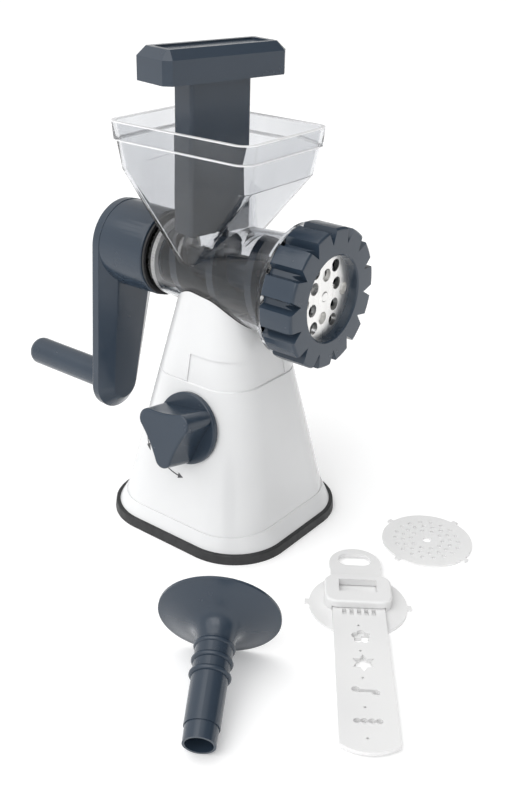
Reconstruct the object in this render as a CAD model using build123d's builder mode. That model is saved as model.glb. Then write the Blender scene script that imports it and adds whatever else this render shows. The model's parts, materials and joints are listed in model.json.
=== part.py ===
from build123d import *
import os
from math import atan2, cos, degrees, radians, sin, tan

# Hand crank meat grinder, millimetres, +Z up. The origin is the centre of the
# stand's foot, on the table. The auger runs along Y: outlet towards -Y, crank
# towards +Y. The suction knob is on the -X wall of the stand.

os.makedirs("parts", exist_ok=True)

# ---------------------------------------------------------------- stand
AXIS_Z = 156.8          # auger axis above the table
SEAM_Z = 97.5           # base shell meets saddle housing
SADDLE_TOP_DROP = 0.8   # the saddle's walls are cut off by the barrel below this
WALL_LEAN = 11.5        # lean of the tower walls, degrees
TOWER_HALF = 54.6       # tower half width, carried down to the table
TOWER_CORNER = 29.5     # tower corner radius, carried down to the table
CORNER_TAPER = 0.071    # corner radius lost per mm of height
SHELL_WALL = 2.6
SHELL_FOOT_Z = 2.0      # lower edge of the white shell, on the rubber foot
SKIRT_HALF_X = 55.2
SKIRT_HALF_Y = 58.4
SKIRT_CORNER = 34.0
SKIRT_STEP = 0.7        # ledge between tower wall and skirt
SKIRT_HEIGHT = 12.0
DECK_THICKNESS = 3.0
DECK_HOLE_R = 14.0
PANEL_HEIGHT = 16.5     # recessed corner panels of the saddle housing
PANEL_DEPTH = 0.8
PANEL_END_X = 12.0      # panel end on the front and rear walls
PANEL_END_Y = 1.5       # panel end on the side walls

# ---------------------------------------------------------------- foot
RING_HALF_X = 58.0
RING_HALF_Y = 61.4
RING_CORNER = 36.6
RING_HEIGHT = 5.6
RING_DRAFT = 0.6        # the ring narrows by this much to its top
PAD_OPENING_HALF = 47.5
PAD_OPENING_CORNER = 26.0
PAD_THICKNESS = 2.2
PAD_BOSS_R = 12.0
PAD_BOSS_TOP = 10.0

# ---------------------------------------------------------------- suction knob
KNOB_Y = -4.8
KNOB_Z = 72.0
KNOB_DISC_R = 21.3
KNOB_DISC_THICKNESS = 3.0
KNOB_STAND_OFF = 0.4
KNOB_FACE = 23.0        # front face above the wall
KNOB_LOBE_REACH = 20.0
KNOB_LOBE_R = 6.0
KNOB_WAIST = 12.0
KNOB_TURN = 8.0         # lowest lobe off plumb, degrees
CAM_SHAFT_R = 4.5
CAM_BOSS_R = 9.0
CAM_BOSS_LENGTH = 8.0
CAM_THROW = 3.0
CAM_PIN_R = 2.0
CAM_DISC_R = 7.0
STEM_R = 4.0
STEM_HEAD_R = 8.0
GUIDE_Z = 42.0          # underside of the stem guide
GUIDE_THICKNESS = 4.0
POST_PITCH = 44.0       # spacing of the four guide posts
POST_R = 3.8
SADDLE_SCREW_REACH = 24.0
RUNNING_FIT = 0.06      # radial clearance of turning fits
SEAT_GAP = 0.3          # clearance between curved faces that only pass by

# ---------------------------------------------------------------- barrel and hopper
BARREL_REAR_Y = 42.6
BARREL_REAR_R = 23.2
BARREL_MID_Y = -20.0
BARREL_MID_R = 27.5
BARREL_FRONT_Y = -47.0
BARREL_FRONT_R = 30.4
FLANGE_R = 37.3
FLANGE_THICKNESS = 2.6
NUT_FACE_Y = -72.9
NUT_LENGTH = 21.0
BARREL_WALL = 2.7
REAR_WALL = 2.6
SPIGOT_R = 15.0
SPIGOT_FOOT_Z = 106.0
HOPPER_CENTRE_Y = 8.3
HOPPER_KEEL_Y = 10.0    # where the two sloping walls meet
HOPPER_KEEL_RISE = 0.7  # keel above the auger axis
HOPPER_KEEL_HALF_X = 23.6
HOPPER_KEEL_HALF_Y = 1.2
RIM_RISE = 81.6         # hopper rim above the auger axis
RIM_HEIGHT = 10.4
RIM_HALF_X = 37.0
RIM_HALF_Y = 49.6
RIM_CORNER = 9.0
RIM_STEP = 1.1
SHOULDER_DROP = 26.4    # shoulder below the rim
SHOULDER_HALF_X = 34.6
SHOULDER_HALF_Y = 44.6
HOPPER_WALL = 2.3

# ---------------------------------------------------------------- ring nut, plate, knife
NUT_R = 38.95
NUT_GROOVE_R = 34.6
NUT_GROOVES = 14
NUT_GROOVE_PHASE = 44.0
NUT_NOTCH_R = 30.4
NUT_NOTCH_DEPTH = 9.0
NUT_LIP = 3.2           # how far the nut's rim covers the plate
NUT_WEB = 5.9
THREAD_R = 31.6
PLATE_R = 27.0
PLATE_THICKNESS = 3.0
PLATE_CENTRE_HOLE_R = 3.0
PLATE_HOLE_R = 3.55
KNIFE_INSET = 2.0       # knife tip inside the plate's edge
KNIFE_THICKNESS = 3.4
SQUARE = 8.0            # across flats of the knife's drive square

# ---------------------------------------------------------------- auger
FLIGHT_PITCH = 29.0
FLIGHT_WIDTH = 4.6
FLIGHT_DEPTH = 16.0
FLIGHT_GAP = 0.7        # flight rim to barrel bore
FLIGHT_FRONT_INSET = 3.7  # flight centre line's start behind the auger's front
FLIGHT_REAR_INSET = 4.0   # flight centre line's end short of the seal disc
AUGER_DISC_THICKNESS = 4.0
CORE_REAR_R = 9.0
CORE_FRONT_R = 11.5
SHANK_R = 8.0
HEX_FLATS = 13.0

# ---------------------------------------------------------------- crank
CRANK_HANG = 9.0        # how far the arm hangs off plumb, degrees
CRANK_BOSS_R = 26.45
CRANK_BOSS_Y = 44.7     # face of the boss next to the barrel
CRANK_ARM_Y = 71.5      # inner face of the arm
CRANK_COVER_Y = 78.1    # seam between arm and cover
CRANK_OUTER_Y = 84.6
CRANK_LENGTH = 90.4
CRANK_END_R = 17.6
CRANK_FACE_TOP_R = 15.5
CRANK_FACE_END_R = 9.5
CRANK_WALL = 2.6
CRANK_HUB_R = 12.0
SCREW_HEAD_R = 9.0
GRIP_R = 9.0
GRIP_LENGTH = 69.0
GRIP_START_Y = 86.2
SPINDLE_R = 3.5
SPINDLE_COLLAR_R = 7.4

# ---------------------------------------------------------------- pusher
PUSHER_X = -2.4
PUSHER_Y = 10.0
PUSHER_TURN = -12.0     # it stands askew in the hopper, degrees
PUSHER_TIP_R = 22.7     # tip above the auger axis, clear of the turning flight
SHAFT_HALF_X = 20.4
SHAFT_HALF_Y = 8.2
SHAFT_CORNER = 2.2
SHAFT_WALL = 2.4
CAP_RISE = 24.3         # underside of the cap above the hopper's rim
CAP_WALL_HEIGHT = 12.4
CAP_HEIGHT = 17.1
CAP_HALF_X = 41.0
CAP_HALF_Y = 15.0
CAP_CHAMFER = 4.6
CAP_CORNER = 3.8
CAP_SINK = 6.0          # how far the cap's plug enters the shaft

# ---------------------------------------------------------------- loose accessories
FINE_X = 44.0
FINE_Y = -122.1
FINE_THICKNESS = 1.5
FINE_TURN = 82.0
FINE_HOLE_R = 1.25
TAB_HEIGHT = 2.4
TAB_WIDTH = 3.4
FUNNEL_X = -118.3
FUNNEL_Y = -93.5
FUNNEL_HEADING = -148.3
FUNNEL_TILT = 17.7
FUNNEL_FLANGE_R = 31.0
FUNNEL_TUBE_R = 8.6
FUNNEL_WALL = 1.9
FUNNEL_LENGTH = 70.3
FUNNEL_BELL_LENGTH = 17.5
COOKIE_X = -36.0
COOKIE_Y = -124.0
COOKIE_THICKNESS = 1.6
COOKIE_HEADING = -144.2  # direction in which the slide's tail points
BRIDGE_WIDTH = 37.0
BRIDGE_LENGTH = 25.0
BRIDGE_HEIGHT = 8.4
BRIDGE_OFFSET = 5.6
WINDOW_WIDTH = 21.0
WINDOW_LENGTH = 11.0
SLIDE_WIDTH = 28.5
SLIDE_THICKNESS = 2.0
SLIDE_TAIL = 106.0
SLIDE_HEAD = 49.5
LOOP_WIDTH = 30.0
LOOP_RIM = 5.4
FINGER_SLOT = 11.0

LEAN_RATE = tan(radians(WALL_LEAN))
SADDLE_TOP_Z = AXIS_Z - SADDLE_TOP_DROP
HOPPER_KEEL_Z = AXIS_Z + HOPPER_KEEL_RISE
RIM_Z = AXIS_Z + RIM_RISE
SHOULDER_Z = RIM_Z - SHOULDER_DROP
NUT_OPENING_R = PLATE_R - NUT_LIP
KNIFE_R = PLATE_R - KNIFE_INSET
TAB_REACH = PLATE_R + TAB_HEIGHT
PLATE_INNER_RING = PLATE_R * 4 / 9
PLATE_OUTER_RING = PLATE_R * 2 / 3


# ================================================================ shared outlines
def tower_half(z):
    """Half width of the tower at height z."""
    return TOWER_HALF - z * LEAN_RATE


def rounded_face(z, half_x, half_y, corner, centre_y=0.0):
    """Rounded rectangle lying flat at height z."""
    with BuildSketch(Plane.XY.offset(z)) as outline:
        with Locations((0, centre_y)):
            RectangleRounded(2 * half_x, 2 * half_y, corner)
    return outline.sketch.face()


def tower_face(z, inset=0.0):
    """Section of the tower at height z, drawn in by inset."""
    half = tower_half(z) - inset
    corner = max(TOWER_CORNER - z * CORNER_TAPER - inset, 1.0)
    return rounded_face(z, half, half, corner)


def hopper_face(z, inset=0.0):
    """Section of the hopper between keel and shoulder at height z."""
    rise = (z - HOPPER_KEEL_Z) / (SHOULDER_Z - HOPPER_KEEL_Z)
    half_x = HOPPER_KEEL_HALF_X + rise * (SHOULDER_HALF_X - HOPPER_KEEL_HALF_X) - inset
    half_y = HOPPER_KEEL_HALF_Y + rise * (SHOULDER_HALF_Y - HOPPER_KEEL_HALF_Y) - inset
    centre_y = HOPPER_KEEL_Y + rise * (HOPPER_CENTRE_Y - HOPPER_KEEL_Y)
    corner = max(0.5, min(rise * RIM_CORNER, RIM_CORNER - inset, half_y - 0.3))
    return rounded_face(z, half_x, half_y, corner, centre_y)


def auger_plane(y):
    """Plane across the auger axis at y, facing the crank, with local Y up."""
    return Plane(origin=(0, y, AXIS_Z), x_dir=(-1, 0, 0), z_dir=(0, 1, 0))


def crank_plane(y):
    """Plane across the auger axis at y, with local Y up along the hanging arm."""
    hang = radians(CRANK_HANG)
    return Plane(origin=(0, y, AXIS_Z), x_dir=(-cos(hang), 0, sin(hang)), z_dir=(0, 1, 0))


def barrel_profile(gap):
    """Half section of the barrel's outside, grown by gap, as (radius, y) corners."""
    return [
        (0, BARREL_REAR_Y + 40),
        (BARREL_REAR_R + gap, BARREL_REAR_Y + 40),
        (BARREL_REAR_R + gap, BARREL_REAR_Y),
        (BARREL_MID_R + gap, BARREL_MID_Y),
        (BARREL_FRONT_R + gap, BARREL_FRONT_Y),
        (BARREL_FRONT_R + gap, BARREL_FRONT_Y - 40),
        (0, BARREL_FRONT_Y - 40),
    ]


def turned(corners):
    """Solid of revolution about the auger axis from (radius, y) corners."""
    with BuildPart() as solid:
        with BuildSketch(Plane(origin=(0, 0, AXIS_Z), x_dir=(1, 0, 0), z_dir=(0, 0, 1))):
            with BuildLine():
                Polyline(*corners, close=True)
            make_face()
        revolve(axis=Axis((0, 0, AXIS_Z), (0, 1, 0)))
    return solid.part


def knob_plane(height):
    """Plane parallel to the -X wall at the knob, height above the wall."""
    lean = radians(WALL_LEAN)
    normal = Vector(-cos(lean), 0, sin(lean))
    wall_point = Vector(-tower_half(KNOB_Z), KNOB_Y, KNOB_Z)
    return Plane(origin=wall_point + normal * height, x_dir=(0, -1, 0), z_dir=normal)


def screw(head_r, head_height, shank_r, length):
    """Pan head screw hanging head down from the origin, shank along +Z."""
    with BuildPart() as fastener:
        with BuildSketch(Plane.XY.offset(-head_height)):
            Circle(head_r)
        extrude(amount=head_height)
        fillet(fastener.edges().sort_by(Axis.Z)[0], head_height * 0.4)
        with BuildSketch(Plane.XY.offset(-head_height)):
            Rectangle(head_r * 1.2, 0.8)
            Rectangle(0.8, head_r * 1.2)
        extrude(amount=head_height * 0.45, mode=Mode.SUBTRACT)
        with BuildSketch(Plane.XY):
            Circle(shank_r)
        extrude(amount=length)
    return fastener.part


# ================================================================ foot
SKIRT_TOP_Z = SHELL_FOOT_Z + SKIRT_HEIGHT
SKIRT_TOP_HALF = tower_half(SKIRT_TOP_Z) + SKIRT_STEP
SKIRT_TOP_CORNER = TOWER_CORNER - SKIRT_TOP_Z * CORNER_TAPER + SKIRT_STEP

with BuildPart() as base_ring:
    loft(sections=[
        rounded_face(0, RING_HALF_X, RING_HALF_Y, RING_CORNER),
        rounded_face(RING_HEIGHT, RING_HALF_X - RING_DRAFT, RING_HALF_Y - RING_DRAFT,
                     RING_CORNER - RING_DRAFT),
    ])
    fillet(base_ring.edges().group_by(Axis.Z)[-1], 0.8)
    with BuildSketch(Plane.XY.offset(SHELL_FOOT_Z)):
        RectangleRounded(2 * SKIRT_HALF_X, 2 * SKIRT_HALF_Y, SKIRT_CORNER)
    extrude(amount=RING_HEIGHT, mode=Mode.SUBTRACT)
    with BuildSketch(Plane.XY):
        RectangleRounded(2 * PAD_OPENING_HALF, 2 * PAD_OPENING_HALF, PAD_OPENING_CORNER)
    extrude(amount=RING_HEIGHT, mode=Mode.SUBTRACT)
base_ring.part.label = "base_ring"
export_step(base_ring.part, "parts/base_ring.step")

PAD_RIM_HALF = PAD_OPENING_HALF + 2.6
with BuildPart() as suction_pad:
    with BuildSketch(Plane.XY):
        RectangleRounded(2 * (PAD_OPENING_HALF - SEAT_GAP), 2 * (PAD_OPENING_HALF - SEAT_GAP),
                         PAD_OPENING_CORNER - SEAT_GAP)
    extrude(amount=SHELL_FOOT_Z)
    with BuildSketch(Plane.XY.offset(SHELL_FOOT_Z)):
        RectangleRounded(2 * PAD_RIM_HALF, 2 * PAD_RIM_HALF, PAD_OPENING_CORNER)
    extrude(amount=PAD_THICKNESS)
    with BuildSketch(Plane.XY.offset(SHELL_FOOT_Z)):
        Circle(PAD_BOSS_R)
    extrude(amount=PAD_BOSS_TOP - SHELL_FOOT_Z)
    with BuildSketch(Plane.XY.offset(PAD_BOSS_TOP - 5.0)):
        Circle(STEM_HEAD_R)
    extrude(amount=2.4, mode=Mode.SUBTRACT)
    with BuildSketch(Plane.XY.offset(PAD_BOSS_TOP - 4.0)):
        Circle(STEM_R + RUNNING_FIT)
    extrude(amount=6.0, mode=Mode.SUBTRACT)
suction_pad.part.label = "suction_pad"
export_step(suction_pad.part, "parts/suction_pad.step")

# ================================================================ base shell
DECK_Z = SEAM_Z - DECK_THICKNESS
POST_FOOT_Z = GUIDE_Z + GUIDE_THICKNESS
CAM_BORE_R = CAM_SHAFT_R + RUNNING_FIT

with BuildPart() as base_shell:
    loft(sections=[tower_face(SKIRT_TOP_Z), tower_face(SEAM_Z)])
    chamfer(base_shell.edges().group_by(Axis.Z)[-1], 0.5)
    loft(sections=[
        rounded_face(RING_HEIGHT, SKIRT_HALF_X, SKIRT_HALF_Y, SKIRT_CORNER),
        rounded_face(SKIRT_TOP_Z, SKIRT_TOP_HALF, SKIRT_TOP_HALF, SKIRT_TOP_CORNER),
    ])
    with BuildSketch(Plane.XY.offset(SHELL_FOOT_Z)):
        RectangleRounded(2 * SKIRT_HALF_X, 2 * SKIRT_HALF_Y, SKIRT_CORNER)
    extrude(amount=RING_HEIGHT - SHELL_FOOT_Z)
    loft(sections=[tower_face(SHELL_FOOT_Z, SHELL_WALL), tower_face(DECK_Z, SHELL_WALL)],
         mode=Mode.SUBTRACT)
    with BuildSketch(Plane.XY.offset(POST_FOOT_Z)):
        with GridLocations(POST_PITCH, POST_PITCH, 2, 2):
            Circle(POST_R)
    extrude(amount=DECK_Z - POST_FOOT_Z)
    with BuildSketch(knob_plane(-SHELL_WALL / 2)):
        Circle(CAM_BOSS_R)
    extrude(amount=-(CAM_BOSS_LENGTH + SHELL_WALL / 2))
    with BuildSketch(knob_plane(1.0)):
        Circle(CAM_BORE_R)
    extrude(amount=-(CAM_BOSS_LENGTH + SHELL_WALL + 2.0), mode=Mode.SUBTRACT)
    with BuildSketch(Plane.XY.offset(DECK_Z)):
        Circle(DECK_HOLE_R)
        with PolarLocations(SADDLE_SCREW_REACH, 4):
            Circle(1.8)
    extrude(amount=DECK_THICKNESS, mode=Mode.SUBTRACT)
    with BuildSketch(Plane.XY.offset(POST_FOOT_Z)):
        with GridLocations(POST_PITCH, POST_PITCH, 2, 2):
            Circle(1.5)
    extrude(amount=12.0, mode=Mode.SUBTRACT)
base_shell.part.label = "base_shell"
export_step(base_shell.part, "parts/base_shell.step")

with BuildPart() as stem_guide:
    with BuildSketch(Plane.XY.offset(GUIDE_Z)):
        RectangleRounded(POST_PITCH + 2 * POST_R + 2, POST_PITCH + 2 * POST_R + 2, 6)
        RectangleRounded(POST_PITCH - 14, POST_PITCH + 20, 3, mode=Mode.SUBTRACT)
        RectangleRounded(POST_PITCH + 20, POST_PITCH - 14, 3, mode=Mode.SUBTRACT)
    extrude(amount=GUIDE_THICKNESS)
    with BuildSketch(Plane.XY.offset(GUIDE_Z)):
        Rectangle(POST_PITCH + 2 * POST_R, 9, rotation=45)
        Rectangle(POST_PITCH + 2 * POST_R, 9, rotation=-45)
    extrude(amount=GUIDE_THICKNESS)
    with BuildSketch(Plane.XY.offset(GUIDE_Z - 6)):
        Circle(STEM_R + 3.5)
    extrude(amount=GUIDE_THICKNESS + 6)
    with BuildSketch(Plane.XY.offset(GUIDE_Z - 6)):
        Circle(STEM_R + RUNNING_FIT)
        with GridLocations(POST_PITCH, POST_PITCH, 2, 2):
            Circle(1.8)
    extrude(amount=GUIDE_THICKNESS + 6, mode=Mode.SUBTRACT)
stem_guide.part.label = "stem_guide"
export_step(stem_guide.part, "parts/stem_guide.step")


def screw_group(head_z, places, head_r, shank_r, length):
    """Identical screws, heads down with their bearing faces at head_z."""
    one = screw(head_r, 2.2, shank_r, length)
    copies = [Pos(x, y, head_z) * one for x, y in places]
    return Compound(children=copies)


guide_places = [
    (sx * POST_PITCH / 2, sy * POST_PITCH / 2) for sx in (-1, 1) for sy in (-1, 1)
]
guide_screws = screw_group(GUIDE_Z, guide_places, 3.2, 1.5, 14.0)
guide_screws.label = "guide_screws"
export_step(guide_screws, "parts/guide_screws.step")

saddle_places = [
    (SADDLE_SCREW_REACH, 0), (-SADDLE_SCREW_REACH, 0),
    (0, SADDLE_SCREW_REACH), (0, -SADDLE_SCREW_REACH),
]
saddle_screws = screw_group(DECK_Z, saddle_places, 3.2, 1.5, 14.0)
saddle_screws.label = "saddle_screws"
export_step(saddle_screws, "parts/saddle_screws.step")

# ================================================================ suction mechanism
# The knob's axis leans with the wall and crosses the stem at CAM_Z.
CAM_Z = KNOB_Z - tower_half(KNOB_Z) * LEAN_RATE
CAM_REST = 45.0         # the pin stands this far below level when released, degrees
PIN_DROP = CAM_THROW * sin(radians(CAM_REST)) / cos(radians(WALL_LEAN))
SLOT_Z = CAM_Z - PIN_DROP
SLOT_HALF_HEIGHT = CAM_PIN_R + 0.75
CROSSHEAD_HALF_X = 2.2
CAM_DISC_INNER = -(tower_half(KNOB_Z) - 4.6) / cos(radians(WALL_LEAN))

with BuildPart() as lift_stem:
    with BuildSketch(Plane.XY.offset(PAD_BOSS_TOP - 5.0)):
        Circle(STEM_HEAD_R)
    extrude(amount=2.4)
    with BuildSketch(Plane.XY.offset(PAD_BOSS_TOP - 3.0)):
        Circle(STEM_R)
    extrude(amount=SLOT_Z - 6.0 - PAD_BOSS_TOP + 3.0)
    with BuildSketch(Plane.YZ.offset(-CROSSHEAD_HALF_X)):
        with Locations((KNOB_Y, SLOT_Z)):
            RectangleRounded(22.0, 14.0, 3.0)
            SlotOverall(2 * CAM_THROW + 2 * SLOT_HALF_HEIGHT + 4.0, 2 * SLOT_HALF_HEIGHT,
                        mode=Mode.SUBTRACT)
    extrude(amount=2 * CROSSHEAD_HALF_X)
lift_stem.part.label = "lift_stem"
export_step(lift_stem.part, "parts/lift_stem.step")

with BuildPart() as cam_shaft:
    with BuildSketch(knob_plane(KNOB_FACE - 6.0)):
        Circle(CAM_SHAFT_R)
    extrude(amount=-(KNOB_FACE - 6.0 - CAM_DISC_INNER))
    with BuildSketch(knob_plane(CAM_DISC_INNER)):
        Circle(CAM_DISC_R)
    extrude(amount=2.6)
    with BuildSketch(knob_plane(CAM_DISC_INNER)):
        with Locations((-CAM_THROW * cos(radians(CAM_REST)), -CAM_THROW * sin(radians(CAM_REST)))):
            Circle(CAM_PIN_R)
    extrude(amount=-8.0)
    clip_height = -SHELL_WALL - CAM_BOSS_LENGTH - 0.3
    with BuildSketch(knob_plane(clip_height)):
        Circle(CAM_SHAFT_R)
        Circle(CAM_SHAFT_R - 0.6, mode=Mode.SUBTRACT)
    extrude(amount=-1.2, mode=Mode.SUBTRACT)
cam_shaft.part.label = "cam_shaft"
export_step(cam_shaft.part, "parts/cam_shaft.step")

with BuildPart() as cam_clip:
    with BuildSketch(knob_plane(clip_height - 0.1)):
        Circle(CAM_SHAFT_R + 3.2)
        Circle(CAM_SHAFT_R - 0.55, mode=Mode.SUBTRACT)
        with Locations((CAM_SHAFT_R + 2.0, 0)):
            Rectangle(6.0, 4.4, mode=Mode.SUBTRACT)
    extrude(amount=-1.0)
cam_clip.part.label = "cam_clip"
export_step(cam_clip.part, "parts/cam_clip.step")


def polar(radius, angle):
    """Point at an angle in degrees."""
    return Vector(radius * cos(radians(angle)), radius * sin(radians(angle)))


def knob_outline(grow):
    """Three round lobes joined by hollow flanks, one lobe pointing down."""
    reach = KNOB_LOBE_REACH - KNOB_LOBE_R + grow
    waist = KNOB_WAIST + grow
    inward = KNOB_LOBE_R - waist
    flank_centre = (reach**2 - inward**2) / (2 * inward + reach)
    with BuildSketch() as lobes:
        with BuildLine():
            for lobe in (KNOB_TURN - 90, KNOB_TURN + 30, KNOB_TURN + 150):
                centre = polar(reach, lobe)
                touch = [
                    centre + (polar(flank_centre, lobe + side) - centre).normalized() * KNOB_LOBE_R
                    for side in (-60, 60)
                ]
                ThreePointArc(touch[0], polar(reach + KNOB_LOBE_R, lobe), touch[1])
                next_centre = polar(reach, lobe + 120)
                toward_flank = (polar(flank_centre, lobe + 60) - next_centre).normalized()
                next_touch = next_centre + toward_flank * KNOB_LOBE_R
                ThreePointArc(touch[1], polar(waist, lobe + 60), next_touch)
        make_face()
    return lobes.sketch.face()


with BuildPart() as suction_knob:
    with BuildSketch(knob_plane(KNOB_STAND_OFF)):
        Circle(KNOB_DISC_R)
    extrude(amount=KNOB_DISC_THICKNESS)
    fillet(suction_knob.edges().sort_by(Axis.X)[0], 1.0)
    disc_top = KNOB_STAND_OFF + KNOB_DISC_THICKNESS
    loft(sections=[
        knob_plane(disc_top - 0.5) * knob_outline(0.9),
        knob_plane(KNOB_FACE) * knob_outline(0.0),
    ])
    knob_front = suction_knob.faces().sort_by(Axis(knob_plane(0).origin, knob_plane(0).z_dir))[-1]
    fillet(knob_front.edges(), 1.2)
    with BuildSketch(knob_plane(KNOB_STAND_OFF)):
        Circle(CAM_SHAFT_R)
    extrude(amount=KNOB_FACE - 6.0 - KNOB_STAND_OFF, mode=Mode.SUBTRACT)
suction_knob.part.label = "suction_knob"
export_step(suction_knob.part, "parts/suction_knob.step")

# ================================================================ saddle housing
SADDLE_FLOOR_TOP = SEAM_Z + DECK_THICKNESS
SOCKET_R = SPIGOT_R + SEAT_GAP

with BuildPart() as saddle_housing:
    loft(sections=[tower_face(SEAM_Z), tower_face(SADDLE_TOP_Z)])
    chamfer(saddle_housing.edges().group_by(Axis.Z)[0], 0.5)
    loft(sections=[tower_face(SADDLE_FLOOR_TOP, SHELL_WALL), tower_face(SADDLE_TOP_Z, SHELL_WALL)],
         mode=Mode.SUBTRACT)
    with BuildSketch(Plane.XY.offset(SADDLE_FLOOR_TOP)):
        Circle(SOCKET_R + 2.4)
        with PolarLocations(SADDLE_SCREW_REACH, 4):
            Circle(3.6)
    extrude(amount=16.0)
    with BuildSketch(Plane.XY.offset(SPIGOT_FOOT_Z)):
        Circle(SOCKET_R)
    extrude(amount=40.0, mode=Mode.SUBTRACT)
    with BuildSketch(Plane.XY.offset(SEAM_Z)):
        Circle(2.7)
        with PolarLocations(SADDLE_SCREW_REACH, 4):
            Circle(1.5)
    extrude(amount=14.0, mode=Mode.SUBTRACT)
    # two opposite corners carry a shallow recessed panel above the seam
    for side in (-1, 1):
        with BuildSketch(Plane.XY.offset(SEAM_Z)) as panel_band:
            RectangleRounded(2 * tower_half(SEAM_Z) + 8, 2 * tower_half(SEAM_Z) + 8, 26)
            with Locations((side * 40, side * 40)):
                Rectangle(80 + 2 * PANEL_END_X, 80 + 2 * PANEL_END_Y, mode=Mode.INTERSECT)
        panel_cut = extrude(panel_band.sketch, amount=PANEL_HEIGHT, mode=Mode.PRIVATE)
        inner_tower = Solid.make_loft([
            tower_face(SEAM_Z - 1, PANEL_DEPTH).outer_wire(),
            tower_face(SEAM_Z + PANEL_HEIGHT + 1, PANEL_DEPTH).outer_wire(),
        ])
        add(panel_cut - inner_tower, mode=Mode.SUBTRACT)
    add(turned(barrel_profile(SEAT_GAP)), mode=Mode.SUBTRACT)
saddle_housing.part.label = "saddle_housing"
export_step(saddle_housing.part, "parts/saddle_housing.step")

# ================================================================ clear body: hopper and barrel
PLATE_REAR_Y = NUT_FACE_Y + NUT_WEB + PLATE_THICKNESS
BARREL_MOUTH_Y = PLATE_REAR_Y - PLATE_THICKNESS + 0.3
NUT_REAR_Y = NUT_FACE_Y + NUT_LENGTH
FLANGE_Y = NUT_REAR_Y + 0.4
KNIFE_REAR_Y = PLATE_REAR_Y + KNIFE_THICKNESS
BORE_REAR_R = BARREL_REAR_R - BARREL_WALL
BORE_MID_R = BARREL_MID_R - BARREL_WALL
BORE_FRONT_R = BARREL_FRONT_R - BARREL_WALL
CHAMBER_R = PLATE_R + 0.3
CHAMBER_Y = KNIFE_REAR_Y + 1.5

bore_corners = [
    (0, BARREL_REAR_Y - REAR_WALL),
    (BORE_REAR_R, BARREL_REAR_Y - REAR_WALL),
    (BORE_REAR_R, BARREL_REAR_Y - REAR_WALL - 6),
    (BORE_MID_R, BARREL_MID_Y),
    (BORE_FRONT_R - 0.6, BARREL_FRONT_Y),
    (BORE_FRONT_R - 0.6, CHAMBER_Y),
    (CHAMBER_R, CHAMBER_Y),
    (CHAMBER_R, NUT_FACE_Y),
    (0, NUT_FACE_Y),
]

with BuildPart() as grinder_body:
    loft(sections=[
        rounded_face(RIM_Z - RIM_HEIGHT, RIM_HALF_X - 0.8, RIM_HALF_Y - 0.8, RIM_CORNER - 0.8,
                     HOPPER_CENTRE_Y),
        rounded_face(RIM_Z, RIM_HALF_X, RIM_HALF_Y, RIM_CORNER, HOPPER_CENTRE_Y),
    ])
    loft(sections=[
        rounded_face(SHOULDER_Z, SHOULDER_HALF_X, SHOULDER_HALF_Y, RIM_CORNER, HOPPER_CENTRE_Y),
        rounded_face(RIM_Z - RIM_HEIGHT, RIM_HALF_X - RIM_STEP - 0.6, RIM_HALF_Y - RIM_STEP - 0.6,
                     RIM_CORNER, HOPPER_CENTRE_Y),
    ])
    loft(sections=[hopper_face(HOPPER_KEEL_Z), hopper_face(SHOULDER_Z)])
    add(turned([
        (0, BARREL_REAR_Y),
        (BARREL_REAR_R, BARREL_REAR_Y),
        (BARREL_MID_R, BARREL_MID_Y),
        (BARREL_FRONT_R, BARREL_FRONT_Y),
        (FLANGE_R, FLANGE_Y + FLANGE_THICKNESS),
        (FLANGE_R, FLANGE_Y),
        (THREAD_R, FLANGE_Y),
        (THREAD_R, BARREL_MOUTH_Y),
        (0, BARREL_MOUTH_Y),
    ]))
    with BuildSketch(Plane.XY.offset(SPIGOT_FOOT_Z)):
        Circle(SPIGOT_R)
    extrude(amount=AXIS_Z - SPIGOT_FOOT_Z)
    with BuildSketch(Plane.XY.offset(SPIGOT_FOOT_Z + 4)):
        Circle(SPIGOT_R - BARREL_WALL)
        Circle(4.5, mode=Mode.SUBTRACT)
    extrude(amount=AXIS_Z - BORE_MID_R - 2 * BARREL_WALL - SPIGOT_FOOT_Z - 3, mode=Mode.SUBTRACT)
    with BuildSketch(Plane.XY.offset(SPIGOT_FOOT_Z)):
        Circle(2.0)
    extrude(amount=12, mode=Mode.SUBTRACT)
    # hopper cavity
    rim_inner = RIM_HALF_Y - HOPPER_WALL
    loft(sections=[
        rounded_face(SHOULDER_Z, SHOULDER_HALF_X - HOPPER_WALL, SHOULDER_HALF_Y - HOPPER_WALL,
                     RIM_CORNER - HOPPER_WALL, HOPPER_CENTRE_Y),
        rounded_face(RIM_Z + 0.5, RIM_HALF_X - HOPPER_WALL, rim_inner, RIM_CORNER - HOPPER_WALL,
                     HOPPER_CENTRE_Y),
    ], mode=Mode.SUBTRACT)
    throat_z = HOPPER_KEEL_Z + 6.0
    loft(sections=[hopper_face(throat_z, HOPPER_WALL), hopper_face(SHOULDER_Z, HOPPER_WALL)],
         mode=Mode.SUBTRACT)
    add(turned(bore_corners), mode=Mode.SUBTRACT)
    with BuildSketch(auger_plane(0)):
        Circle(SHANK_R + SEAT_GAP)
    extrude(amount=BARREL_REAR_Y + 1, mode=Mode.SUBTRACT)
    # four notches in the mouth take the plates' tabs
    with BuildSketch(auger_plane(BARREL_MOUTH_Y)):
        with PolarLocations(PLATE_R + 1.5, 4, start_angle=45):
            Rectangle(4.2, TAB_WIDTH + 0.8)
    extrude(amount=PLATE_THICKNESS, mode=Mode.SUBTRACT)
grinder_body.part.label = "grinder_body"
export_step(grinder_body.part, "parts/grinder_body.step")

with BuildPart() as foot_screw:
    add(Pos(0, 0, SEAM_Z) * screw(5.0, 3.0, 2.5, SPIGOT_FOOT_Z - SEAM_Z))
    with BuildSketch(Plane.XY.offset(SPIGOT_FOOT_Z)):
        Circle(1.95)
    extrude(amount=11.0)
foot_screw.part.label = "foot_screw"
export_step(foot_screw.part, "parts/foot_screw.step")

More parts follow.
